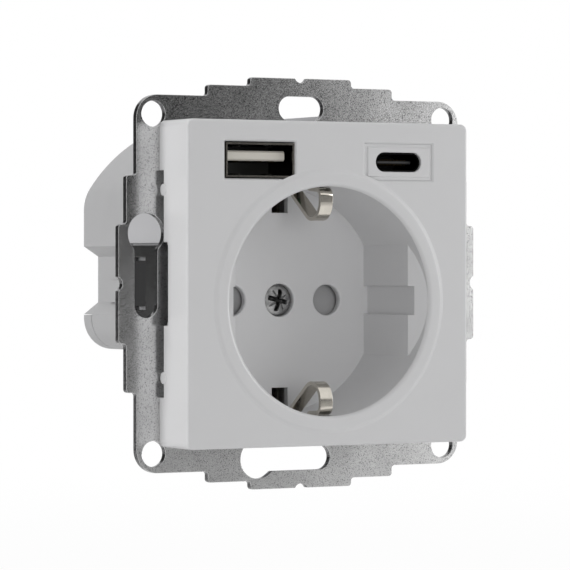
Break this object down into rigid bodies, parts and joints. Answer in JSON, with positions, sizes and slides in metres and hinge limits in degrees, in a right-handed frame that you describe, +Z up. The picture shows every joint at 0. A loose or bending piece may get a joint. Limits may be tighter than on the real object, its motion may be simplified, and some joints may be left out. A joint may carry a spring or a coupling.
{
  "type": "wall socket",
  "caption": "Square flush wall socket with a round earthed cup, shuttered pin holes, USB-A and USB-C charging ports, steel support frame and push-in rear terminals.",
  "frame": {"origin": "centre of the support frame's rear face, which lies on the wall", "axes": "+X right and +Z up as the socket is seen from the room, +Y into the wall"},
  "size_m": [0.0704, 0.0451, 0.0704],
  "materials": {
    "frame_steel": "galvanised, grainy",
    "cover_plastic": "white, smooth gloss",
    "base_plastic": "light grey, satin",
    "housing_plastic": "light grey, satin",
    "shutter_plastic": "mid grey, satin",
    "lever_plastic": "orange, satin",
    "strip_nickel": "nickel plated",
    "screw_steel": "zinc plated",
    "spring_steel": "bright spring steel",
    "contact_brass": "plain brass",
    "port_steel": "nickel plated",
    "port_white": "white, satin",
    "port_black": "black, satin",
    "contact_gold": "gold flashed",
    "board_laminate": "green solder mask",
    "ferrite": "dark ferrite",
    "coil_tape": "yellow tape over the winding",
    "can_sleeve": "dark shrink sleeve",
    "component_blue": "blue epoxy",
    "component_black": "black epoxy",
    "lead_sheath": "brown sheath",
    "lead_sheath_blue": "blue sheath"
  },
  "bodies": {
    "socket": {"support_frame": "frame_steel", "cover_plate": "cover_plastic", "cover_screw": "screw_steel", "earth_bridge": "strip_nickel", "socket_base": "base_plastic", "rear_housing": "housing_plastic", "terminal_cover": "housing_plastic", "housing_screws": "screw_steel", "shutter_spring": "spring_steel", "live_contact": "contact_brass", "neutral_contact": "contact_brass", "live_clamp_spring": "spring_steel", "earth_clamp_spring": "spring_steel", "neutral_clamp_spring": "spring_steel", "usb_a_shell": "port_steel", "usb_a_tongue": "port_white", "usb_a_contacts": "contact_gold", "usb_c_bezel": "cover_plastic", "usb_c_shell": "port_steel", "usb_c_tongue": "port_black", "usb_c_contacts": "contact_gold", "usb_board": "board_laminate", "link_header": "component_black", "power_board": "board_laminate", "board_screws": "screw_steel", "transformer_core": "ferrite", "transformer_coil": "coil_tape", "input_capacitor": "can_sleeve", "output_capacitor": "can_sleeve", "choke": "component_black", "fuse_resistor": "component_blue", "varistor": "component_blue", "rectifier": "component_black", "controller_chip": "component_black", "live_lead": "lead_sheath", "neutral_lead": "lead_sheath_blue"},
    "shutter": {"shutter": "shutter_plastic"},
    "live_lever": {"live_release_lever": "lever_plastic"},
    "earth_lever": {"earth_release_lever": "lever_plastic"},
    "neutral_lever": {"neutral_release_lever": "lever_plastic"}
  },
  "joints": [
    {"name": "shutter_turn", "type": "hinge", "parent": "socket", "child": "shutter", "pos_m": [0, 0.0091, -0.003], "axis": [0, 1, 0], "range_deg": [0, 38], "stiffness_Nm_per_rad": 0.001, "springref_deg": -20.05},
    {"name": "live_lever_press", "type": "slide", "parent": "socket", "child": "live_lever", "axis": [0, -1, 0], "range_m": [0, 0.0015], "stiffness_N_per_m": 200, "springref_m": -0.001},
    {"name": "earth_lever_press", "type": "slide", "parent": "socket", "child": "earth_lever", "axis": [0, -1, 0], "range_m": [0, 0.0015], "stiffness_N_per_m": 200, "springref_m": -0.001},
    {"name": "neutral_lever_press", "type": "slide", "parent": "socket", "child": "neutral_lever", "axis": [0, -1, 0], "range_m": [0, 0.0015], "stiffness_N_per_m": 200, "springref_m": -0.001}
  ]
}
